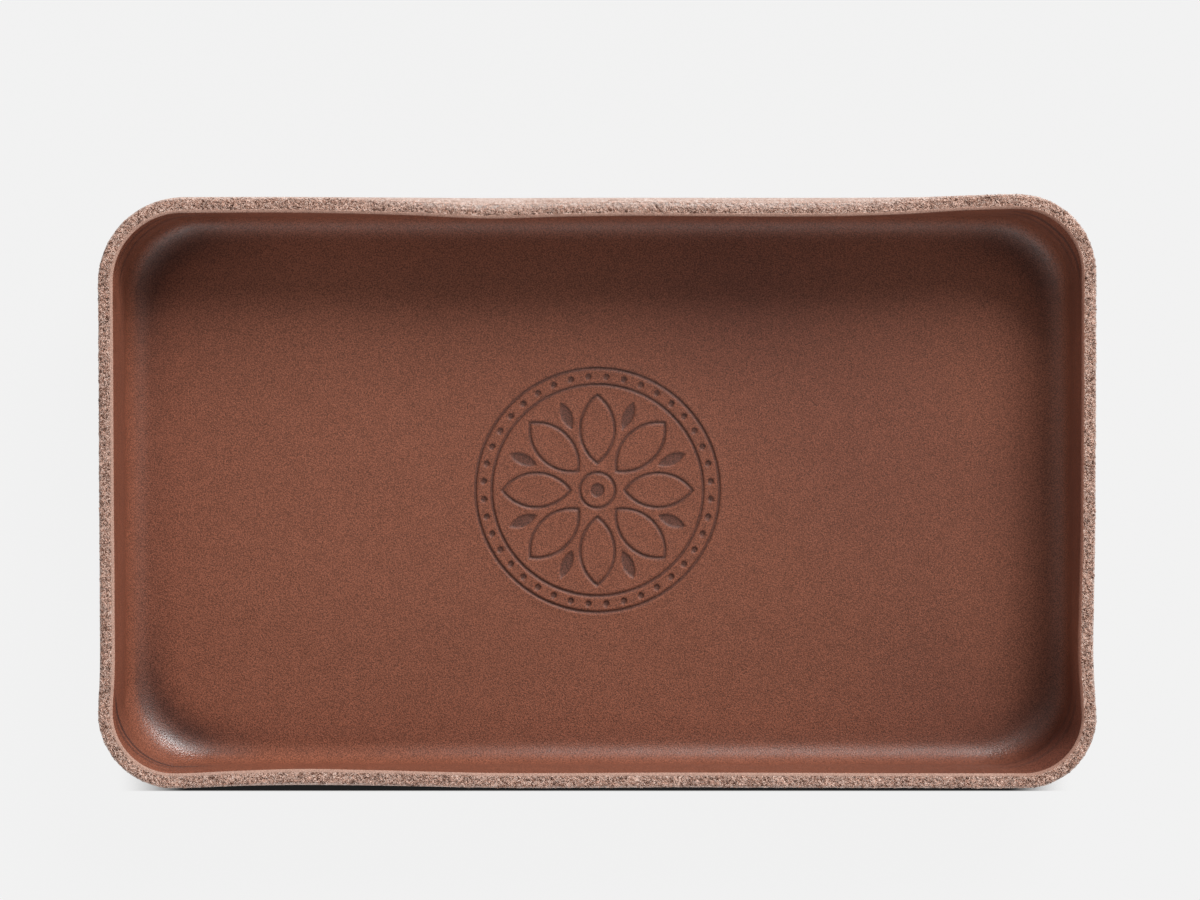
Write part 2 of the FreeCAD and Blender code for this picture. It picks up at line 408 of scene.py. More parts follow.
class StudioStage(bpy.types.PropertyGroup):
    """Camera, light and floor."""

    camera_rise: FloatProperty(
        name="Camera rise", description="Height of the camera above the rim", default=0.9, unit="LENGTH")
    frame_width: FloatProperty(
        name="Frame width", description="Width of the picture at the rim", default=0.2594, unit="LENGTH")
    frame_right: FloatProperty(
        name="Frame right", description="How far the picture's middle lies along +X",
        default=0.6 * MM, unit="LENGTH")
    frame_up: FloatProperty(
        name="Frame up", description="How far the picture's middle lies along +Y",
        default=8.9 * MM, unit="LENGTH")
    background: FloatProperty(
        name="Background", description="Brightness of the floor as the camera sees it", default=0.888)
    shadow_share: FloatProperty(
        name="Shadow share", description="How much of the floor's real light and shadow shows",
        default=0.025)
    shade_throw: FloatProperty(
        name="Shade throw", description="How far the dark shade under the tray reaches out in front",
        default=2.6 * MM, unit="LENGTH")
    shade_ends: FloatProperty(
        name="Shade ends", description="Length over which that shade fades towards the tray's ends",
        default=16.0 * MM, unit="LENGTH")
    key_power: FloatProperty(
        name="Key power", description="Power of the soft key lamp", default=89.0, unit="POWER")
    key_size: FloatProperty(
        name="Key size", description="Width of the soft key lamp", default=1.35, unit="LENGTH")
    key_place: FloatVectorProperty(
        name="Key place", description="Where the soft key lamp hangs", subtype="XYZ",
        default=(1.092, 2.181, 1.746))
    fill_power: FloatProperty(
        name="Fill power", description="Power of the wide fill lamp", default=5.6, unit="POWER")
    fill_size: FloatVectorProperty(
        name="Fill size", description="Width and height of the wide fill lamp", size=2, subtype="XYZ",
        default=(3.2, 0.36))
    fill_place: FloatVectorProperty(
        name="Fill place", description="Where the wide fill lamp stands", subtype="XYZ",
        default=(-0.1, -0.87, 0.42))
    world_zenith: FloatProperty(name="Zenith", description="Light from straight above", default=0.2)
    world_horizon: FloatProperty(name="Horizon", description="Light from low down all round", default=0.6)


class Hide:
    """Sizes worked out from the frame's boxes and the tray's settings, and the columns of its outline."""

    def __init__(self, shape, fineness=1):
        flesh_low, flesh_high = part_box("flesh_layer")
        fibre_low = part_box("fibre_layer")[0]
        grain_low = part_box("grain_layer")[0]
        self.shape = shape
        self.rim_height = flesh_high.z
        self.floor_height = grain_low.z + shape.grain_thickness
        self.thickness = self.floor_height - flesh_low.z
        self.fibre_start = shape.grain_thickness
        self.flesh_start = self.floor_height - fibre_low.z
        self.foot_half_length = flesh_high.x - self.thickness - shape.wall_flare
        self.foot_half_width = flesh_high.y - self.thickness - shape.wall_flare
        self.foot_height = self.floor_height + shape.corner_bend_radius
        self.wall_height = self.rim_height - self.foot_height
        self.flat_half_length = self.foot_half_length - shape.side_bend_radius
        self.flat_half_width = self.foot_half_width - shape.side_bend_radius
        self.flat_radii = self.bend_sizes(0, 0)[1]
        self.side_columns = (shape.long_columns * fineness, shape.short_columns * fineness) * 2
        self.corner_columns = shape.corner_columns * fineness
        self.set_columns()

    def set_columns(self):
        """Distance round the rim of each column, the way out of it, and where each corner's middle is."""
        self.inner_rim = self.wall_row(0, 1)[:, :2]
        self.outer_rim = self.wall_row(self.thickness, 1)[:, :2]
        steps = np.linalg.norm(np.roll(self.inner_rim, -1, axis=0) - self.inner_rim, axis=1)
        self.round = np.concatenate(([0], np.cumsum(steps)[:-1]))
        self.girth = steps.sum()
        middles = []
        column = 0
        for side_columns in self.side_columns:
            column += side_columns
            middles.append(self.round[column + self.corner_columns // 2])
            column += self.corner_columns
        self.corner_middles = middles[3:] + middles[:3]

    def outline(self, half_length, half_width, radii, leans, dip):
        """Points round the tray at one height, anticlockwise from the front left corner."""
        centres = np.array(CORNER_SIDES) * np.column_stack((half_length - radii, half_width - radii - leans))
        outward = np.array(((0, -1), (1, 0), (0, 1), (-1, 0)))
        waves = (FRONT_WAVE_SHARES, RIGHT_WAVE_SHARES, BACK_WAVE_SHARES, LEFT_WAVE_SHARES)
        pieces = []
        for number, count in enumerate(self.side_columns):
            after = (number + 1) % 4
            start = centres[number] + outward[number] * radii[number]
            end = centres[after] + outward[number] * radii[after]
            places = np.arange(count) / count
            inward = dip * wave_depths(places, waves[number])
            pieces.append(start + np.outer(places, end - start) - np.outer(inward, outward[number]))
            turns = number - 1 + np.arange(self.corner_columns) / self.corner_columns
            angles = turns * math.pi / 2
            pieces.append(centres[after] + radii[after] * np.column_stack((np.cos(angles), np.sin(angles))))
        return np.vstack(pieces)

    def floor_row(self, inset):
        """Row of the flat floor, inset from where the bend starts."""
        half_length = self.flat_half_length - inset
        half_width = self.flat_half_width - inset
        flat = self.outline(half_length, half_width, self.flat_radii - inset, np.zeros(4), 0)
        return with_height(flat, self.floor_height)

    def bend_sizes(self, offset, rise):
        """How far the bend lies inside the walls at a rise above the floor, and the corners' radii there."""
        shape = self.shape
        side_inset = bend_inset(shape.side_bend_radius + offset, rise)
        corner_insets = bend_inset(shape.corner_bend_radius * CORNER_BEND_SHARES + offset, rise)
        diagonal = math.sqrt(2)
        spread = (corner_insets - diagonal * side_inset) / (diagonal - 1)
        return side_inset, shape.foot_corner_radius * FOOT_CORNER_SHARES + offset + spread

    def bend_row(self, offset, angle):
        """Row of the bend where the widest corner has turned up by an angle."""
        rise = (self.shape.corner_bend_radius + offset) * (1 - math.cos(angle))
        side_inset, radii = self.bend_sizes(offset, rise)
        out = offset - side_inset
        flat = self.outline(self.foot_half_length + out, self.foot_half_width + out, radii, np.zeros(4), 0)
        return with_height(flat, self.floor_height - offset + rise)

    def wall_row(self, offset, share):
        """Row of the wall at a share of its height: upright at the foot, then flared, curling in at dips."""
        shape = self.shape
        lean = 2 * share ** 2 - share ** 3
        out = offset + shape.wall_flare * lean
        dip = shape.rim_dip * share ** 4
        foot_radii = shape.foot_corner_radius * FOOT_CORNER_SHARES
        growth = shape.rim_corner_radius * RIM_CORNER_SHARES - foot_radii
        flat = self.outline(
            self.foot_half_length + out, self.foot_half_width + out,
            foot_radii + growth * lean + offset, dip * CORNER_LEAN_SHARES, dip)
        return with_height(flat, self.foot_height + self.wall_height * share)

    def rim_row(self, across):
        """Row of the rim at a depth across the hide, with both arrises rounded and the fibre torn up."""
        return self.rim_points(self.round, np.full(len(self.round), across))

    def rim_points(self, distance, across):
        """Points of the cut rim at distances round it and depths across the hide."""
        place = np.interp(distance, np.append(self.round, self.girth), np.arange(len(self.round) + 1))
        column = place.astype(int) % len(self.round)
        after = (column + 1) % len(self.round)
        between = (place - np.floor(place))[:, None]
        inner = self.inner_rim[column] * (1 - between) + self.inner_rim[after] * between
        outer = self.outer_rim[column] * (1 - between) + self.outer_rim[after] * between
        flat = inner + (outer - inner) * (across / self.thickness)[:, None]
        shape = self.shape
        outer_arris = shape.outer_arris + (shape.rolled_arris - shape.outer_arris) * self.rolled(distance)
        inner_drop = shape.inner_drop * self.by_side(flat[:, 0], flat[:, 1], INNER_DROP_SHARES)
        below = rounding(across, shape.inner_arris, inner_drop)
        below += rounding(self.thickness - across, outer_arris, shape.outer_drop)
        points = np.column_stack((flat, self.rim_height - below))
        points[:, 2] += self.torn_fibre(points, across) - self.nicks(distance, across)
        near_edge = smooth_step(self.flesh_start - self.fibre_start, self.thickness, across)
        sideways_share = 0.4
        push = sideways_share * shape.rim_roughness * near_edge * ripples(points, *EDGE_TEAR)
        points[:, :2] += (outer - inner) / self.thickness * push[:, None]
        return points

    def rolled(self, distance):
        """How fully the rim's outer edge is rolled at distances round it."""
        start, full, fading, end = np.array(ROLLED_EDGE) * MM
        return smooth_step(start, full, distance) * (1 - smooth_step(fading, end, distance))

    def on_roll(self, distance, across):
        """How much points of the rim lie on its rolled outer edge."""
        near_edge = smooth_step(self.thickness - self.shape.rolled_arris, self.thickness, across)
        return self.rolled(distance) * near_edge

    def torn_fibre(self, points, across):
        """Height of the torn fibre on the rim, which the close grain at the inside hardly has."""
        close_share, broad_share, sunk_share = 0.2, 0.6, 0.25
        loose = smooth_step(0.8 * self.fibre_start, 1.5 * self.fibre_start, across)
        lift = ripples(points, *FINE_TEAR) + broad_share * ripples(points, *BROAD_TEAR) - sunk_share
        return self.shape.rim_roughness * (close_share + (1 - close_share) * loose) * lift

    def nicks(self, distance, across):
        """How deep the rim is nicked at distances round it and depths across the hide."""
        shape = self.shape
        depth = np.zeros(len(distance))
        for place, middle, slant, share in NICKS:
            past = across - middle * MM
            along = distance - place * MM - slant * past
            depth += share * np.exp(-(along / shape.nick_width) ** 2 - (past / (3 * shape.nick_width)) ** 2)
        return shape.nick_depth * depth

    def upright(self, height):
        """How far the hide has turned up at heights: 0 on the floor and 1 at the foot of the wall."""
        return smooth_step(self.floor_height, self.foot_height, height)

    def edge_distance(self, x, y):
        """How far a point of the floor lies inside the start of the bend."""
        radius = self.flat_radii[np.where(y < 0, np.where(x < 0, 0, 1), np.where(x < 0, 3, 2))]
        across_x = np.abs(x) - (self.flat_half_length - radius)
        across_y = np.abs(y) - (self.flat_half_width - radius)
        outside = np.hypot(np.maximum(across_x, 0), np.maximum(across_y, 0))
        inside = np.minimum(np.maximum(across_x, across_y), 0)
        return radius - outside - inside

    def cornerness(self, x, y, reach, shares, shifts):
        """How much points of the floor belong to a corner, with a share and a shift for each corner."""
        total = np.zeros(len(x))
        for share, radius, (side_x, side_y), shift in zip(shares, self.flat_radii, CORNER_SIDES, shifts):
            middle = radius * (1 - math.sqrt(0.5))
            corner_x = side_x * (self.flat_half_length - middle) + shift[0] * MM
            corner_y = side_y * (self.flat_half_width - middle) + shift[1] * MM
            far = np.hypot(x - corner_x, y - corner_y) / reach
            total += share * np.exp(-far ** 2)
        return np.minimum(total, 1)

    def rubbed(self, x, y):
        """How much the floor was rubbed down beside the bends, most of all in the corners, darkened partly as
        painted shade.
        """
        beside_bend = np.exp(-(np.maximum(self.edge_distance(x, y), 0) / self.shape.moat_width) ** 2)
        corner = self.cornerness(x, y, MOAT_REACH, CORNER_MOAT_AND_PAINTED_SHADE_SHARES, NO_SHIFTS)
        return beside_bend * np.minimum(self.by_side(x, y, SIDE_RUB_AND_PAINTED_SHADE_SHARES) + corner, 1)

    def by_side(self, x, y, shares):
        """Shares of the front, right, back and left sides, each counted by how near it is."""
        length, across = self.flat_half_length, self.flat_half_width
        total, weights = np.zeros(len(x)), np.full(len(x), 1e-9)
        for share, inside in zip(shares, (across + y, length - x, across - y, length + x)):
            weight = np.exp(-(np.maximum(inside, 0) / SIDE_REACH) ** 2)
            total += share * weight
            weights += weight
        return total / weights

    def dye_and_painted_light(self, x, y):
        """How much lighter, or below zero darker, points of the floor are, partly uneven dye and partly
        painted light.
        """
        total = np.zeros(len(x))
        for along, across, reach, strength in DYE_AND_PAINTED_LIGHT_PATCHES:
            total += strength * np.exp(-((x / MM - along) ** 2 + (y / MM - across) ** 2) / reach ** 2)
        return total

    def crease(self, row, corners):
        """Distance of a row's points from a crease, less than zero above it, and how strongly it shows."""
        places, depths, strengths = [], [], []
        for middle, points in zip(self.corner_middles, corners):
            for along, depth, shown in points:
                places.append(middle + along * MM)
                depths.append(depth * MM)
                strengths.append(shown)
        line = np.zeros(len(row))
        softening = 3 * MM
        shifts = np.linspace(-softening, softening, 13)
        for shift in shifts:
            line += np.interp(self.round + shift, places, depths, period=self.girth) / len(shifts)
        slope = np.gradient(line, self.round)
        strength = np.interp(self.round, places, strengths, period=self.girth)
        return (self.rim_height - row[:, 2] - line) / np.hypot(1, slope), strength


def with_height(flat, height):
    """Points of an outline at one height."""
    return np.column_stack((flat, np.full(len(flat), height)))


def wave_depths(places, knots):
    """Depth share of a rim's waves along a side: a smooth curve through the knots, level at both ends."""
    at = np.array([0] + [knot[0] for knot in knots] + [1])
    depth = np.array([0] + [knot[1] for knot in knots] + [0])
    slope = np.gradient(depth, at)
    slope[[0, -1]] = 0
    span = np.clip(np.searchsorted(at, places, side="right") - 1, 0, len(at) - 2)
    width = at[span + 1] - at[span]
    t = (places - at[span]) / width
    start = (1 + 2 * t) * (1 - t) ** 2 * depth[span] + t * (1 - t) ** 2 * width * slope[span]
    end = t ** 2 * (3 - 2 * t) * depth[span + 1] - t ** 2 * (1 - t) * width * slope[span + 1]
    return start + end


def bend_inset(radius, rise):
    """How far a bend lies inside its wall at a rise above the floor."""
    left = np.maximum(radius - rise, 0)
    return radius - np.sqrt(radius ** 2 - left ** 2)


def rounding(depth, width, drop):
    """How far a rounded edge lies below its flat at distances in from the edge."""
    inside = np.clip(1 - depth / width, 0, 1)
    return drop * (1 - np.sqrt(1 - inside ** 2))


def smooth_step(low, high, value):
    """0 below low, 1 above high, and smooth between."""
    t = np.clip((value - low) / (high - low), 0, 1)
    return t * t * (3 - 2 * t)


def band(value, middle, width):
    """1 at the middle of a band, and less the farther a value lies from it."""
    return np.exp(-((value - middle) / width) ** 2)


def ripples(points, wavelength, octaves, seed):
    """Fractal noise at each point, about -0.5 to 0.5."""
    shift = Vector((seed * 17.3, seed * 7.7, seed * 3.1))
    return np.array([
        noise.fractal(Vector(point) / wavelength + shift, 1.0, 2.0, octaves) for point in points])


class Rosette:
    """The pressed design as a distance from its edges: below zero is pressed in."""

    def __init__(self, design):
        self.design = design
        self.petal = lens_sizes(design.petal_inner_radius, design.petal_outer_radius, design.petal_width)
        self.leaf = lens_sizes(design.leaf_inner_radius, design.leaf_outer_radius, design.leaf_width)
        self.bead_ring = (design.inner_ring_radius + design.outer_ring_radius) / 2
        self.rings = (design.centre_ring_radius, design.inner_ring_radius, design.outer_ring_radius)

    def distance(self, x, y):
        """Distance of points from the nearest pressed edge."""
        design = self.design
        half_line = design.line / 2
        radius = np.hypot(x, y)
        petal = lens_distance(*folded(x, y, design.petal_count, 0), *self.petal)
        leaf = lens_distance(*folded(x, y, design.petal_count, 0.5), *self.leaf)
        bead_x, bead_y = folded(x, y, design.bead_count, 0.5)
        found = [np.abs(petal + half_line) - half_line, leaf, radius - design.centre_dot_radius]
        found.append(np.hypot(bead_x - self.bead_ring, bead_y) - design.bead_radius)
        found += [np.abs(radius - ring) - half_line for ring in self.rings]
        return np.min(found, axis=0)

    def height(self, distance):
        """Height of the pressed leather at a distance from an edge, with a soft shoulder and a low lip."""
        design = self.design
        pressed = 1 - smooth_step(-design.shoulder / 2, design.shoulder / 2, distance)
        lip = np.exp(-((distance - 1.2 * design.shoulder) / design.shoulder) ** 2)
        return design.lip * lip - design.depth * pressed

    def mesh_points(self, step):
        """Points along the pressed edges, close together across them."""
        design = self.design
        line = design.line
        outside = [line * share for share in (1.3, 0.65)]
        near = [design.shoulder * share for share in (-0.4, 0, 0.4)]
        inside = [-line / 2] + [-line - value for value in near] + [-line - value for value in outside]
        line_offsets = outside + near + inside
        solid_offsets = outside + near + [-line * share for share in (0.65, 1.3)]
        parts = []
        for ring in self.rings:
            parts += [circle(0, ring + line / 2 + offset, step) for offset in line_offsets]
        parts += [circle(0, design.centre_dot_radius + offset, step) for offset in solid_offsets]
        bead = np.vstack([circle(self.bead_ring, design.bead_radius + offset, step / 2)
                          for offset in near + [-line / 2, outside[1]]])
        parts += turned(bead, design.bead_count, 0.5)
        petal = np.vstack([lens_points(*self.petal, offset, step) for offset in line_offsets])
        parts += turned(petal, design.petal_count, 0)
        leaf = np.vstack([lens_points(*self.leaf, offset, step) for offset in solid_offsets])
        parts += turned(leaf, design.petal_count, 0.5)
        return np.vstack(parts)


def lens_sizes(start, end, width):
    """Middle, half width and arc radius of a pointed oval along X."""
    half_length, half_width = (end - start) / 2, width / 2
    return (start + end) / 2, half_width, (half_length ** 2 + half_width ** 2) / width


def lens_distance(x, y, middle, half_width, arc_radius):
    """Distance of points from the edge of a pointed oval, below zero inside."""
    return np.hypot(x - middle, np.abs(y) + arc_radius - half_width) - arc_radius


def lens_points(middle, half_width, arc_radius, offset, step):
    """Points along a pointed oval that is grown by offset."""
    radius = arc_radius + offset
    drop = arc_radius - half_width
    if radius <= drop:
        return np.zeros((0, 2))
    reach = math.acos(drop / radius)
    count = max(int(2 * reach * radius / step), 2)
    angles = np.linspace(-reach, reach, count)
    upper = np.column_stack((middle + radius * np.sin(angles), radius * np.cos(angles) - drop))
    return np.vstack((upper, upper[1:-1] * (1, -1)))


def circle(middle, radius, step):
    """Points round a circle centred on X."""
    if radius <= step / 4:
        return np.array([[middle, 0]])
    angles = np.arange(0, 2 * math.pi, step / radius)
    return np.column_stack((middle + radius * np.cos(angles), radius * np.sin(angles)))


def folded(x, y, count, first_share):
    """Points turned into the first of count sectors, whose axis is X."""
    sector = 2 * math.pi / count
    angle = np.arctan2(y, x) - first_share * sector
    angle = (angle + sector / 2) % sector - sector / 2
    radius = np.hypot(x, y)
    return radius * np.cos(angle), radius * np.sin(angle)


def turned(points, count, first_share):
    """Copies of points spread evenly round the middle."""
    copies = []
    for number in range(count):
        angle = 2 * math.pi * (number + first_share) / count
        cos, sin = math.cos(angle), math.sin(angle)
        copies.append(points @ np.array(((cos, sin), (-sin, cos))))
    return copies


def cap(boundary, inside):
    """Triangles over a closed boundary and the points inside it, as indices into both in that order."""
    points = [Vector(point) for point in np.vstack((boundary, inside))[:, :2] / MM]
    inside_only, least = 1, 1e-6
    outline = list(range(len(boundary)))
    faces, origins = delaunay_2d_cdt(points, [], [outline], inside_only, least)[2:4]
    source = [origin[0] for origin in origins]
    return [[source[index] for index in face] for face in faces]


def skin_mesh(name, rows, first_inside, last_inside):
    """Closed mesh of rows of columns, with a cap over the first row and one under the last."""
    columns = len(rows[0])
    points = np.vstack(rows + [first_inside, last_inside])
    faces = []
    ring = np.arange(columns)
    after = np.roll(ring, -1)
    for number in range(len(rows) - 1):
        low, high = number * columns, (number + 1) * columns
        faces += np.column_stack((low + ring, high + ring, high + after, low + after)).tolist()
    row_points = len(rows) * columns
    last_row = row_points - columns
    for start, shift, boundary, inside in (
            (0, row_points, rows[0], first_inside),
            (last_row, row_points + len(first_inside), rows[-1], last_inside)):
        for face in cap(boundary, inside):
            faces.append([start + i if i < columns else shift + i - columns for i in face])
    mesh = bpy.data.meshes.new(name)
    mesh.from_pydata(points.tolist(), [], faces)
    build = bmesh.new()
    build.from_mesh(mesh)
    bmesh.ops.recalc_face_normals(build, faces=build.faces)
    build.to_mesh(mesh)
    build.free()
    mesh.shade_smooth()
    return mesh


def set_attribute(mesh, name, values):
    """Stores one number on each point of a mesh for its material."""
    mesh.attributes.new(name, "FLOAT", "POINT").data.foreach_set("value", np.asarray(values, np.float32))


def set_across(mesh, rows, depths):
    """Stores how far through the hide each row lies, in millimetres, and zero on the points after them."""
    columns = len(rows[0])
    across = np.zeros(len(mesh.vertices))
    across[:len(rows) * columns] = np.repeat(depths, columns) / MM
    set_attribute(mesh, "across", across)


def grid_normals(rows):
    """Unit normals of rows of columns, on the side that faces into the tray."""
    grid = np.array(rows)
    round_tray = np.roll(grid, -1, axis=1) - np.roll(grid, 1, axis=1)
    up_wall = np.gradient(grid, axis=0)
    normals = np.cross(round_tray, up_wall)
    return -normals / np.linalg.norm(normals, axis=2, keepdims=True)


def floor_grid(half_length, half_width, step):
    """Staggered points over a rectangle."""
    points = []
    for number, y in enumerate(np.arange(-half_width, half_width, step * math.sqrt(0.75))):
        x = np.arange(-half_length + step / 2 * (number % 2), half_length, step)
        points.append(np.column_stack((x, np.full(len(x), y))))
    return np.vstack(points)


def thinned(points, least):
    """Points with those dropped that share a cell of the least spacing with an earlier one."""
    cells = np.round(points / least).astype(int)
    keep = np.unique(cells, axis=0, return_index=True)[1]
    return points[np.sort(keep)]


def new_piece(name, mesh, slot, material, *nodes):
    """Adds an object of a mesh that rides on the tray and stands for its CAD nodes."""
    piece = bpy.data.objects.new(name, mesh)
    bpy.context.scene.collection.objects.link(piece)
    mesh.materials.append(material)
    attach(piece, "root")
    if nodes:
        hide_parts(*nodes)


def layer_face(hide, offset):
    """Plain rows of a face between two layers, from its floor up to under the rim."""
    rows = [hide.bend_row(offset, math.radians(angle)) for angle in HIDDEN_BEND_ANGLES]
    return rows + [hide.wall_row(offset, share) for share in HIDDEN_WALL_SHARES]


class VALET_TRAY_OT_grain_layer(bpy.types.Operator):
    """Builds the smooth inside face with the pressed design"""

    bl_idname = "valet_tray.grain_layer"
    bl_label = "Grain layer"

    def execute(self, context):
        scene = context.scene
        hide = Hide(scene.valet_tray_shape)
        rosette = Rosette(scene.valet_tray_design)
        inside = self.inside_rows(hide)
        rim_depths = hide.fibre_start * GRAIN_RIM_SHARES
        rim = [hide.rim_row(across) for across in rim_depths]
        back = layer_face(hide, hide.fibre_start)[::-1]
        floor = self.floor_points(hide, rosette)
        rows = inside + rim + back
        mesh = skin_mesh("grain_layer_finish", rows, floor, np.zeros((0, 3)))
        depths = np.concatenate((np.zeros(len(inside)), rim_depths, np.full(len(back), hide.fibre_start)))
        set_across(mesh, rows, depths)
        self.set_attributes(hide, rosette, mesh, inside, rim + back, floor)
        material = grain_leather(scene.valet_tray_finish)
        new_piece("grain_layer_finish", mesh, "grain_leather", material, "grain_layer")
        return {"FINISHED"}

    def inside_rows(self, hide):
        """Rows of the inside face from the floor up to the rim."""
        shape = hide.shape
        rows = [hide.floor_row(inset) for inset in shape.floor_band * FLOOR_ROW_SHARES]
        for row in rows:
            row[:, 2] += self.floor_shape(hide, row)
        dip = self.floor_shape(hide, hide.bend_row(0, 0))
        for angle in np.radians(GRAIN_BEND_ANGLES):
            row = hide.bend_row(0, angle)
            row[:, 2] += dip * (1 - math.sin(angle))
            rows.append(row)
        top_share = 1 - shape.inner_drop * max(INNER_DROP_SHARES) / hide.wall_height
        rows += [hide.wall_row(0, share * top_share) for share in GRAIN_WALL_SHARES]
        plain_rim = 3 * MM
        for row, normal in zip(rows, grid_normals(rows)):
            below_rim = smooth_step(0, plain_rim, hide.rim_height - row[:, 2])
            swell = shape.wall_swell * hide.upright(row[:, 2]) * below_rim * ripples(row, *WALL_SWELLS)
            row += normal * swell[:, None]
        return rows

    def floor_shape(self, hide, points):
        """Height of the floor above its level: slow swells, less what was rubbed down along the bend."""
        swell = hide.shape.floor_swell * ripples(points, *FLOOR_SWELLS)
        return swell - hide.shape.corner_moat * hide.rubbed(points[:, 0], points[:, 1])

    def floor_points(self, hide, rosette):
        """Points of the floor inside the first row, close together along the pressed lines."""
        stamp = thinned(rosette.mesh_points(STAMP_STEP), STAMP_LEAST_STEP)
        grid = floor_grid(hide.flat_half_length, hide.flat_half_width, FLOOR_STEP)
        grid = grid[hide.edge_distance(grid[:, 0], grid[:, 1]) > hide.shape.floor_band + FLOOR_STEP / 2]
        grid = grid[rosette.distance(grid[:, 0], grid[:, 1]) > STAMP_MARGIN]
        points = with_height(np.vstack((stamp, grid)), hide.floor_height)
        points[:, 2] += self.floor_shape(hide, points)
        points[:, 2] += rosette.height(rosette.distance(points[:, 0], points[:, 1]))
        return points

    def set_attributes(self, hide, rosette, mesh, inside, others, floor):
        """Stores what the finish follows: rubbed and shining bends, painted shade, dye and painted light,
        pressed edges and creases.
        """
        points = np.vstack(inside + others + [floor])
        x, y, z = points.T
        upright = hide.upright(z)
        past_edge = -hide.edge_distance(x, y)
        front_gloss = np.interp(x / MM, *zip(*FRONT_GLOSS_SHARES))
        side = hide.by_side(x, y, (front_gloss, *SIDE_GLOSS_SHARES))
        corner = hide.cornerness(x, y, SHINE_REACH, CORNER_GLOSS_SHARES, CORNER_GLOSS_SHIFTS)
        set_attribute(mesh, "bend", band(past_edge, *SIDE_SHINE_BAND) * side)
        set_attribute(mesh, "corner", band(past_edge, *CORNER_SHINE_BAND) * corner)
        # The burnish darkening is partly rubbed grain and partly painted shade
        set_attribute(mesh, "burnish_and_painted_shade", hide.rubbed(x, y) * (1 - smooth_step(0, RUB_AND_PAINTED_SHADE_RISE, upright)))
        set_attribute(mesh, "upright", upright)
        # How much pale cut grain shows; less on the right and back paints the shade of the rim's inner edge
        set_attribute(mesh, "painted_lit_cut", hide.by_side(x, y, CUT_GRAIN_PAINTED_LIGHT_SHARES))
        # Patches of dye and painted light on the floor, and painted light or shade on the walls
        set_attribute(mesh, "dye_and_painted_light", hide.dye_and_painted_light(x, y) + upright * hide.by_side(x, y, WALL_PAINTED_LIGHT_SHARES))
        set_attribute(mesh, "stamp", np.clip(rosette.distance(x, y), -MM, 2 * MM) / MM)
        plain = np.zeros(len(points) - len(inside) * len(inside[0]))
        for name, corners in CREASES.items():
            found = [hide.crease(row, corners) for row in inside]
            distances = np.concatenate([distance for distance, strength in found] + [plain])
            strengths = np.concatenate([strength for distance, strength in found] + [plain])
            set_attribute(mesh, name, distances / MM)
            set_attribute(mesh, name + "_strength", strengths)


class VALET_TRAY_OT_fibre_layer(bpy.types.Operator):
    """Builds the fibre of the hide, which shows at the cut rim"""

    bl_idname = "valet_tray.fibre_layer"
    bl_label = "Fibre layer"

    def execute(self, context):
        scene = context.scene
        hide = Hide(scene.valet_tray_shape, FIBRE_FINENESS)
        start, end = hide.fibre_start, hide.flesh_start
        face, back = layer_face(hide, start), layer_face(hide, end)[::-1]
        rim_depths = np.linspace(start, end, FIBRE_RIM_ROWS)
        rows = face + [hide.rim_row(across) for across in rim_depths] + back
        mesh = skin_mesh("fibre_layer_finish", rows, np.zeros((0, 3)), np.zeros((0, 3)))
        depths = np.concatenate((np.full(len(face), start), rim_depths, np.full(len(back), end)))
        set_across(mesh, rows, depths)
        plain = np.zeros(len(face) * len(hide.round))
        roll = [hide.on_roll(hide.round, across) for across in rim_depths]
        set_attribute(mesh, "roll", np.concatenate([plain] + roll + [plain]))
        material = cut_fibre(scene.valet_tray_finish)
        new_piece("fibre_layer_finish", mesh, "cut_fibre", material, "fibre_layer")
        return {"FINISHED"}


class VALET_TRAY_OT_flesh_layer(bpy.types.Operator):
    """Builds the napped outside of the hide and its underside"""

    bl_idname = "valet_tray.flesh_layer"
    bl_label = "Flesh layer"

    def execute(self, context):
        scene = context.scene
        hide = Hide(scene.valet_tray_shape)
        start, end = hide.flesh_start, hide.thickness
        rows = layer_face(hide, start)
        rows += [hide.rim_row(across) for across in np.linspace(start, end, FLESH_RIM_ROWS)]
        outside = [hide.bend_row(end, angle) for angle in np.radians(FLESH_BEND_ANGLES)]
        outside += [hide.wall_row(end, share) for share in FLESH_WALL_SHARES]
        rows += outside[::-1]
        margin = 3 * MM
        underside = floor_grid(hide.flat_half_length, hide.flat_half_width, UNDERSIDE_STEP)
        underside = underside[hide.edge_distance(underside[:, 0], underside[:, 1]) > margin]
        mesh = skin_mesh("flesh_layer_finish", rows, np.zeros((0, 3)), with_height(underside, CAD_LOW.z))
        material = napped_flesh(scene.valet_tray_finish)
        new_piece("flesh_layer_finish", mesh, "napped_flesh", material, "flesh_layer")
        return {"FINISHED"}


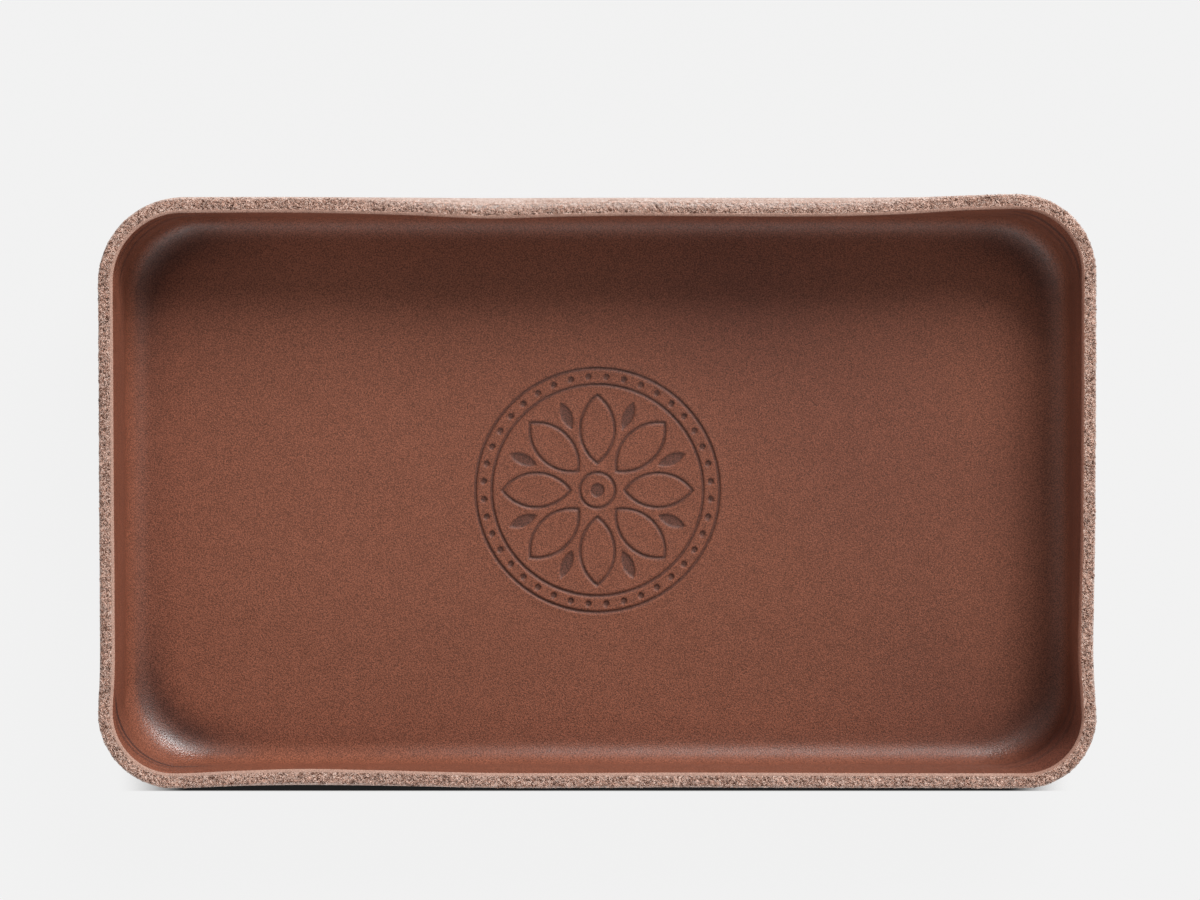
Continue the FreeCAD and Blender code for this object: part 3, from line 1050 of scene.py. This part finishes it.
class VALET_TRAY_OT_loose_fibres(bpy.types.Operator):
    """Lays loose fibre ends on the cut rim and along its outer edge"""

    bl_idname = "valet_tray.loose_fibres"
    bl_label = "Loose fibres"

    def execute(self, context):
        scene = context.scene
        hide = Hide(scene.valet_tray_shape, FIBRE_FINENESS)
        fibres = scene.valet_tray_fibres
        chance = np.random.default_rng(fibres.seed)
        count = fibres.matted_count + fibres.edge_count
        distance = chance.uniform(0, hide.girth, count)
        across = np.concatenate((
            chance.uniform(hide.fibre_start, hide.thickness - 0.1 * MM, fibres.matted_count),
            chance.uniform(hide.flesh_start, hide.thickness, fibres.edge_count)))
        length = chance.uniform(fibres.shortest, fibres.longest, count)
        edge_length_share = 0.6
        length[fibres.matted_count:] *= edge_length_share
        paths = self.paths(hide, fibres, chance, distance, across, length)
        radius = chance.uniform(fibres.thinnest, fibres.thickest, count)
        mesh = fibre_mesh("loose_fibres", paths, radius)
        # Fibres on the rolled back edge are paler, partly as its nap and partly as painted light
        evenness, roll_paleness = 1.1, 0.6
        tone = chance.beta(evenness, evenness, count) + roll_paleness * hide.on_roll(distance, across)
        tone = np.minimum(tone, 1)
        set_attribute(mesh, "tone", np.repeat(tone, FIBRE_POINTS))
        new_piece("loose_fibres", mesh, "cut_fibre", loose_fibre(scene.valet_tray_finish))
        return {"FINISHED"}

    def paths(self, hide, fibres, chance, distance, across, length):
        """Points along each fibre, which bows in the rim's plane and stands off it in the middle."""
        count = len(distance)
        steps = np.linspace(-1, 1, PATH_POINTS)
        angle = chance.uniform(0, 2 * math.pi, count)
        bow_spread, overhang = 0.22, 0.06 * MM
        bow = chance.normal(0, bow_spread, count) * length
        forward = np.outer(length / 2, steps)
        aside = np.outer(bow, steps ** 2)
        cos, sin = np.cos(angle)[:, None], np.sin(angle)[:, None]
        round_rim = (distance[:, None] + forward * cos - aside * sin) % hide.girth
        through = across[:, None] + forward * sin + aside * cos
        through = np.clip(through, 0.8 * hide.fibre_start, hide.thickness + overhang)
        points = hide.rim_points(round_rim.ravel(), through.ravel()).reshape(count, PATH_POINTS, 3)
        lift = chance.uniform(0.2, 1, count) * fibres.lift
        points[:, :, 2] += np.outer(lift, 1.2 - 1.5 * steps ** 2)
        return points


def fibre_mesh(name, paths, radius):
    """Closed three-sided fibres along paths, which taper to a point at both ends."""
    count = len(paths)
    along = paths[:, 2:] - paths[:, :-2]
    aside = np.cross(along, (0, 0, 1))
    aside /= np.linalg.norm(aside, axis=2, keepdims=True)
    upward = np.cross(aside, along)
    upward /= np.linalg.norm(upward, axis=2, keepdims=True)
    girth_shares = np.array((0.85, 1, 0.8))
    girths = radius[:, None, None] * girth_shares[None, :, None]
    rings = []
    for turn in (90, 210, 330):
        way = aside * math.cos(math.radians(turn)) + upward * math.sin(math.radians(turn))
        rings.append(paths[:, 1:-1] + way * girths)
    rings = np.stack(rings, axis=2).reshape(count, -1, 3)
    points = np.concatenate((paths[:, :1], rings, paths[:, -1:]), axis=1).reshape(-1, 3)
    first_tip, first_ring = 0, 1
    last_tip, last_ring = FIBRE_POINTS - 1, FIBRE_POINTS - 1 - FIBRE_SIDES
    sides = [(side, (side + 1) % FIBRE_SIDES) for side in range(FIBRE_SIDES)]
    pattern = [[first_tip, first_ring + side, first_ring + after] for side, after in sides]
    for ring in range(first_ring, last_ring, FIBRE_SIDES):
        above = ring + FIBRE_SIDES
        pattern += [[ring + side, above + side, above + after, ring + after] for side, after in sides]
    pattern += [[last_tip, last_ring + after, last_ring + side] for side, after in sides]
    faces = []
    for shape in pattern:
        faces += (np.arange(count)[:, None] * FIBRE_POINTS + np.array(shape)).tolist()
    mesh = bpy.data.meshes.new(name)
    mesh.from_pydata(points.tolist(), [], faces)
    mesh.shade_smooth()
    return mesh


def feed(tree, socket, value):
    """Links a value that is a socket into another socket, or sets a plain value on it."""
    if isinstance(value, bpy.types.NodeSocket):
        tree.links.new(value, socket)
    else:
        socket.default_value = value


def add_node(tree, kind, settings=None, **inputs):
    """Node with its settings and inputs, each a socket or a value."""
    node = tree.nodes.new(kind)
    for key, value in (settings or {}).items():
        setattr(node, key, value)
    for key, value in inputs.items():
        feed(tree, node.inputs[key.replace("_", " ")], value)
    return node


def mixed(tree, factor, first, second, blend="MIX"):
    """Colour mixed from two colours, each a socket or a value."""
    node = tree.nodes.new("ShaderNodeMix")
    node.data_type = "RGBA"
    node.blend_type = blend
    feed(tree, node.inputs[MIX_FACTOR], factor)
    for index, colour in ((MIX_FIRST, first), (MIX_SECOND, second)):
        linked = isinstance(colour, bpy.types.NodeSocket)
        feed(tree, node.inputs[index], colour if linked else (*colour, 1))
    return node.outputs[MIX_RESULT]


def sums(tree, operation, first, second=0.0):
    """Result of a sum of two numbers, each a socket or a value."""
    node = tree.nodes.new("ShaderNodeMath")
    node.operation = operation
    for index, value in enumerate((first, second)):
        feed(tree, node.inputs[index], value)
    return node.outputs[0]


def ranged(tree, value, low, high, to_low, to_high):
    """Number moved smoothly from one range to another."""
    node = add_node(
        tree, "ShaderNodeMapRange", {"interpolation_type": "SMOOTHSTEP"}, Value=value,
        From_Min=low, From_Max=high, To_Min=to_low, To_Max=to_high)
    return node.outputs[0]


def shaded(tree, colour, factor):
    """Colour made lighter or darker by a factor."""
    grey = add_node(tree, "ShaderNodeCombineColor")
    for index in range(3):
        tree.links.new(factor, grey.inputs[index])
    return mixed(tree, 1.0, colour, grey.outputs[0], "MULTIPLY")


def millimetres(tree, scale=(1, 1, 1)):
    """The point's place in millimetres, stretched by a scale and turned off the noise's own lines."""
    place = add_node(tree, "ShaderNodeTexCoord").outputs["Object"]
    size = [1 / MM * value for value in scale]
    turn = (0.6, 0.5, 0.3)
    return add_node(tree, "ShaderNodeMapping", Vector=place, Scale=size, Rotation=turn).outputs[0]


def noise_at(tree, place, scale, detail=3.0, roughness=0.5, distortion=0.0):
    """Noise at a place, with scale in features per millimetre."""
    node = add_node(
        tree, "ShaderNodeTexNoise", Vector=place, Scale=scale, Detail=detail, Roughness=roughness,
        Distortion=distortion)
    return node.outputs[0]


def attribute(tree, name):
    """A number stored on the mesh."""
    return add_node(tree, "ShaderNodeAttribute", {"attribute_name": name}).outputs["Fac"]


def bumped(tree, height, distance, below=None):
    """Normal that a height gives, over another normal."""
    inputs = {"Height": height, "Distance": distance}
    if below is not None:
        inputs["Normal"] = below
    return add_node(tree, "ShaderNodeBump", **inputs).outputs[0]


def new_material(name):
    """Material with an empty principled shader, as the material, its tree and the shader."""
    material = bpy.data.materials.new(name)
    material.use_nodes = True
    tree = material.node_tree
    return material, tree, tree.nodes["Principled BSDF"]


def crease_lines(tree):
    """How strongly a crease shows at the point, for both creases together, as relief and as painted shade."""
    lines = []
    for name in CREASES:
        distance = sums(tree, "ABSOLUTE", attribute(tree, name))
        line = ranged(tree, distance, 0.4, 1.3, 1, 0)
        lines.append(sums(tree, "MULTIPLY", line, attribute(tree, name + "_strength")))
    return sums(tree, "MAXIMUM", *lines)


def fibre_colour(tree, finish, place):
    """Colour and height of matted fibre: pale ends over dark pits, whose darkness is painted shade."""
    matting = noise_at(tree, place, *MATTING)
    patches = noise_at(tree, place, *FIBRE_PATCHES)
    # The pits, where the matting is low, are painted dark as shade
    colour = mixed(tree, ranged(tree, matting, 0.41, 0.5, 1, 0), finish.fibre, finish.fibre_dark)
    colour = mixed(tree, ranged(tree, matting, 0.5, 0.6, 0, 1), colour, finish.fibre_light)
    return shaded(tree, colour, ranged(tree, patches, *NOISE_SPREAD, 0.84, 1.12)), matting


def dyed_colour(tree, finish, blotches, specks, streaks, crease):
    """Dyed grain: blotched, streaked, speckled, dark where pressed, painted shade where creased and partly
    where rubbed.
    """
    # Lighter and darker patches and walls: partly uneven dye, partly painted light and shade
    dye_and_painted_light = attribute(tree, "dye_and_painted_light")
    colour = mixed(tree, sums(tree, "MULTIPLY", dye_and_painted_light, -1.0), finish.grain, finish.grain_dark)
    colour = mixed(tree, dye_and_painted_light, colour, finish.grain_light)
    colour = shaded(tree, colour, ranged(tree, blotches, *NOISE_SPREAD, 0.96, 1.04))
    colour = shaded(tree, colour, ranged(tree, streaks, -0.2, 0.2, 0.93, 1.07))
    # Darkening beside the bends: partly rubbed grain, partly painted shade
    rubbed = ranged(tree, blotches, *NOISE_SPREAD, 0.9, 0.7)
    rubbed = sums(tree, "MULTIPLY", attribute(tree, "burnish_and_painted_shade"), rubbed)
    pressed = ranged(tree, attribute(tree, "stamp"), -0.1, 0.15, 0.7, 0)
    # The creases' darkening here is painted shade
    for darkened in (rubbed, pressed, crease):
        colour = mixed(tree, darkened, colour, finish.burnished_and_painted_shade)
    return shaded(tree, colour, ranged(tree, specks, *SPECK_SPREAD, 0.42, 1.58))


def cut_colour(tree, finish, place, across, specks):
    """Close grain where the rim cuts it, painted in shade on some sides, with a ragged border to the matted
    fibre.
    """
    matted, matting = fibre_colour(tree, finish, place)
    ragged = sums(tree, "MULTIPLY", sums(tree, "SUBTRACT", matting, 0.5), 0.9)
    ragged = sums(tree, "ADD", across, ragged)
    close_grain = shaded(tree, finish.cut_grain, ranged(tree, specks, *SPECK_SPREAD, 0.7, 1.25))
    # Less of the pale cut grain on the right and back is painted shade of an edge turned from the light
    close_grain = mixed(tree, attribute(tree, "painted_lit_cut"), finish.grain, close_grain)
    return mixed(tree, ranged(tree, ragged, 0.6, 0.95, 0, 1), close_grain, matted)


def weighted(tree, start, *parts):
    """A number with more added to it, each part a number and its weight."""
    for part, weight in parts:
        start = sums(tree, "ADD", start, sums(tree, "MULTIPLY", part, weight))
    return start


def grain_leather(finish):
    """Dyed, waxed grain: finely pored, darker where rubbed into the bends, partly as painted shade, pale
    where it is cut.
    """
    material, tree, shader = new_material("grain leather")
    place = millimetres(tree)
    blotches = noise_at(tree, place, *BLOTCHES)
    specks = noise_at(tree, place, *SPECKS)
    pebbles = noise_at(tree, place, *PEBBLES)
    pores = add_node(tree, "ShaderNodeTexVoronoi", {"feature": "SMOOTH_F1"}, Vector=place, Scale=PORES_PER_MM)
    upright, corner, bend = (attribute(tree, name) for name in ("upright", "corner", "bend"))
    streaks = noise_at(tree, millimetres(tree, WALL_STREAK_STRETCH), *WALL_STREAKS)
    streaks = sums(tree, "MULTIPLY", sums(tree, "SUBTRACT", streaks, 0.5), upright)
    crease = crease_lines(tree)
    across = attribute(tree, "across")
    cut = ranged(tree, across, 0.02, 0.16, 0, 1)
    dyed = dyed_colour(tree, finish, blotches, specks, streaks, crease)
    painted_lit_cut = cut_colour(tree, finish, place, across, specks)
    tree.links.new(mixed(tree, cut, dyed, painted_lit_cut), shader.inputs["Base Color"])
    roughness = ranged(tree, blotches, *NOISE_SPREAD, 0.5, 0.58)
    roughness = weighted(tree, roughness, (corner, -0.3), (bend, -0.05), (cut, 0.4))
    tree.links.new(roughness, shader.inputs["Roughness"])
    wax = weighted(tree, 0.42, (corner, 0.5), (bend, 0.3), (upright, 0.12))
    tree.links.new(wax, shader.inputs["Specular IOR Level"])
    normal = bumped(tree, pores.outputs[0], PORE_RELIEF)
    normal = bumped(tree, specks, SPECK_RELIEF, normal)
    normal = bumped(tree, sums(tree, "MULTIPLY", pebbles, corner), PEBBLE_RELIEF, normal)
    normal = bumped(tree, streaks, STREAK_RELIEF, normal)
    normal = bumped(tree, sums(tree, "MULTIPLY", crease, -1.0), CREASE_RELIEF, normal)
    tree.links.new(normal, shader.inputs["Normal"])
    return material


def cut_fibre(finish):
    """Raw cut edge: pale matted fibre over pits painted in shade, paler still on the rolled edge, partly as
    painted light.
    """
    material, tree, shader = new_material("cut fibre")
    colour, matting = fibre_colour(tree, finish, millimetres(tree))
    # Paler rolled edge at the back: partly its nap, partly painted light
    rolled = sums(tree, "MULTIPLY", attribute(tree, "roll"), 0.8)
    tree.links.new(mixed(tree, rolled, colour, finish.flesh_light), shader.inputs["Base Color"])
    shader.inputs["Roughness"].default_value = 0.92
    shader.inputs["Specular IOR Level"].default_value = 0.2
    tree.links.new(bumped(tree, matting, MATTING_RELIEF), shader.inputs["Normal"])
    return material


def loose_fibre(finish):
    """Loose fibre ends, each of its own tone from dark to pale."""
    material, tree, shader = new_material("loose fibre")
    tone = attribute(tree, "tone")
    colour = mixed(tree, ranged(tree, tone, 0.1, 0.5, 1, 0), finish.fibre, finish.fibre_dark)
    colour = mixed(tree, ranged(tree, tone, 0.4, 0.9, 0, 1), colour, finish.fibre_light)
    streaks = noise_at(tree, millimetres(tree), *FIBRE_STREAKS)
    colour = shaded(tree, colour, ranged(tree, streaks, *NOISE_SPREAD, 0.85, 1.1))
    tree.links.new(colour, shader.inputs["Base Color"])
    shader.inputs["Roughness"].default_value = 0.85
    shader.inputs["Specular IOR Level"].default_value = 0.25
    return material


def napped_flesh(finish):
    """Outside of the hide: short nap, brushed and rubbed in patches."""
    material, tree, shader = new_material("napped flesh")
    place = millimetres(tree)
    nap = noise_at(tree, place, *NAP)
    patches = noise_at(tree, place, *NAP_PATCHES)
    colour = mixed(tree, ranged(tree, nap, 0.35, 0.52, 1, 0), finish.flesh, finish.flesh_dark)
    colour = mixed(tree, ranged(tree, nap, 0.5, 0.7, 0, 1), colour, finish.flesh_light)
    colour = mixed(tree, ranged(tree, patches, 0.35, 0.7, 0, 0.35), colour, finish.flesh_dark)
    tree.links.new(colour, shader.inputs["Base Color"])
    shader.inputs["Roughness"].default_value = 0.95
    shader.inputs["Specular IOR Level"].default_value = 0.2
    shader.inputs["Sheen Weight"].default_value = 0.2
    shader.inputs["Sheen Roughness"].default_value = 0.5
    tree.links.new(bumped(tree, nap, NAP_RELIEF), shader.inputs["Normal"])
    return material


class VALET_TRAY_OT_stage(bpy.types.Operator):
    """Sets the pale floor, the soft light and the camera straight above the tray"""

    bl_idname = "valet_tray.stage"
    bl_label = "Stage"

    def execute(self, context):
        scene = context.scene
        stage = scene.valet_tray_stage
        self.add_floor(scene, stage)
        self.add_lamp(scene, "key", stage.key_place, stage.key_power, (stage.key_size, stage.key_size))
        self.add_lamp(scene, "fill", stage.fill_place, stage.fill_power, stage.fill_size)
        self.set_world(scene, stage)
        self.add_camera(scene, stage)
        scene.view_settings.view_transform = "Standard"
        return {"FINISHED"}

    def add_floor(self, scene, stage):
        """Pale floor that keeps a soft share of the tray's shadow, with a painted dark shadow close under its
        front.
        """
        half, soft_edge, darkest = 3.0, 0.15 * MM, 0.988
        mesh = bpy.data.meshes.new("floor")
        corners = [(half * x, half * y, CAD_LOW.z) for x, y in CORNER_SIDES]
        mesh.from_pydata(corners, [], [(0, 1, 2, 3)])
        floor = bpy.data.objects.new("floor", mesh)
        scene.collection.objects.link(floor)
        material, tree, shader = new_material("floor paper")
        shade = stage.background
        shader.inputs["Roughness"].default_value = 0.9
        shader.inputs["Specular IOR Level"].default_value = 0.0
        glow = add_node(tree, "ShaderNodeEmission", Color=(shade, shade, shade, 1), Strength=1.0)
        rays = add_node(tree, "ShaderNodeLightPath").outputs
        seen = sums(tree, "MAXIMUM", rays["Is Camera Ray"], rays["Is Glossy Ray"])
        seen = sums(tree, "MAXIMUM", seen, rays["Is Transmission Ray"])
        place = add_node(tree, "ShaderNodeTexCoord").outputs["Object"]
        place = add_node(tree, "ShaderNodeSeparateXYZ", Vector=place).outputs
        # Painted shadow: the floor is painted dark in a strip close under the tray's front
        reach = CAD_LOW.y - stage.shade_throw
        in_front = ranged(tree, place["Y"], reach - soft_edge, reach + soft_edge, 0, 1)
        in_front = sums(tree, "MULTIPLY", in_front, ranged(tree, place["Y"], CAD_LOW.y / 2, 0, 1, 0))
        sideways = sums(tree, "ABSOLUTE", place["X"])
        end = CAD_HIGH.x - MM
        ends = ranged(tree, sideways, end - stage.shade_ends, end, 1, 0)
        dark = sums(tree, "MULTIPLY", sums(tree, "MULTIPLY", in_front, ends), darkest)
        lit = sums(tree, "SUBTRACT", 1.0, dark)
        tree.links.new(shaded(tree, (shade, shade, shade), lit), shader.inputs["Base Color"])
        even = sums(tree, "MULTIPLY", lit, 1 - stage.shadow_share)
        mix = add_node(tree, "ShaderNodeMixShader")
        tree.links.new(sums(tree, "MULTIPLY", seen, even), mix.inputs[0])
        tree.links.new(shader.outputs[0], mix.inputs[1])
        tree.links.new(glow.outputs[0], mix.inputs[2])
        tree.links.new(mix.outputs[0], tree.nodes["Material Output"].inputs["Surface"])
        mesh.materials.append(material)

    def add_lamp(self, scene, name, place, power, size):
        """Soft lamp aimed at the tray."""
        light = bpy.data.lights.new(name, "AREA")
        light.shape = "RECTANGLE"
        light.size, light.size_y = size[0], size[1]
        light.energy = power
        lamp = bpy.data.objects.new(name, light)
        lamp.location = place
        lamp.rotation_euler = (-Vector(place)).to_track_quat("-Z", "Y").to_euler()
        scene.collection.objects.link(lamp)

    def set_world(self, scene, stage):
        """Soft light from all round, brighter low down, as pale walls and tables give back."""
        world = bpy.data.worlds.new("studio")
        scene.world = world
        world.use_nodes = True
        tree = world.node_tree
        tree.nodes["Background"].inputs["Color"].default_value = (1, 1, 1, 1)
        way = add_node(tree, "ShaderNodeTexCoord").outputs["Generated"]
        height = add_node(tree, "ShaderNodeSeparateXYZ", Vector=way).outputs["Z"]
        glow = ranged(tree, height, 0.0, 0.7, stage.world_horizon, stage.world_zenith)
        tree.links.new(glow, tree.nodes["Background"].inputs["Strength"])

    def add_camera(self, scene, stage):
        """Camera straight above, with the tray a little below the picture's middle."""
        lens = bpy.data.cameras.new("camera")
        lens.sensor_width = 36.0
        lens.lens = lens.sensor_width * stage.camera_rise / stage.frame_width
        camera = bpy.data.objects.new("camera", lens)
        camera.location = (stage.frame_right, stage.frame_up, CAD_HIGH.z + stage.camera_rise)
        scene.collection.objects.link(camera)
        scene.camera = camera


class VIEW3D_PT_valet_tray(bpy.types.Panel):
    """Lists the tray's pieces and its settings"""

    bl_label = "Valet tray"
    bl_space_type = "VIEW_3D"
    bl_region_type = "UI"
    bl_category = "Valet tray"

    def draw(self, context):
        for operator in OPERATORS:
            self.layout.operator(operator.bl_idname)
        for name, group in SETTINGS.items():
            box = self.layout.box()
            settings = getattr(context.scene, name)
            for key in group.__annotations__:
                box.prop(settings, key)


SETTINGS = {
    "valet_tray_shape": TrayShape,
    "valet_tray_fibres": LooseFibres,
    "valet_tray_design": PressedDesign,
    "valet_tray_finish": LeatherFinish,
    "valet_tray_stage": StudioStage,
}
OPERATORS = (
    VALET_TRAY_OT_stage,
    VALET_TRAY_OT_grain_layer,
    VALET_TRAY_OT_fibre_layer,
    VALET_TRAY_OT_flesh_layer,
    VALET_TRAY_OT_loose_fibres,
)
CLASSES = (*SETTINGS.values(), *OPERATORS, VIEW3D_PT_valet_tray)


def register():
    for cls in CLASSES:
        bpy.utils.register_class(cls)
    for name, group in SETTINGS.items():
        setattr(bpy.types.Scene, name, PointerProperty(type=group))


def unregister():
    for name in SETTINGS:
        delattr(bpy.types.Scene, name)
    for cls in reversed(CLASSES):
        bpy.utils.unregister_class(cls)


def main():
    register()
    bpy.ops.valet_tray.stage()
    bpy.ops.valet_tray.grain_layer()
    bpy.ops.valet_tray.fibre_layer()
    bpy.ops.valet_tray.flesh_layer()
    bpy.ops.valet_tray.loose_fibres()


if __name__ == "__main__":
    main()
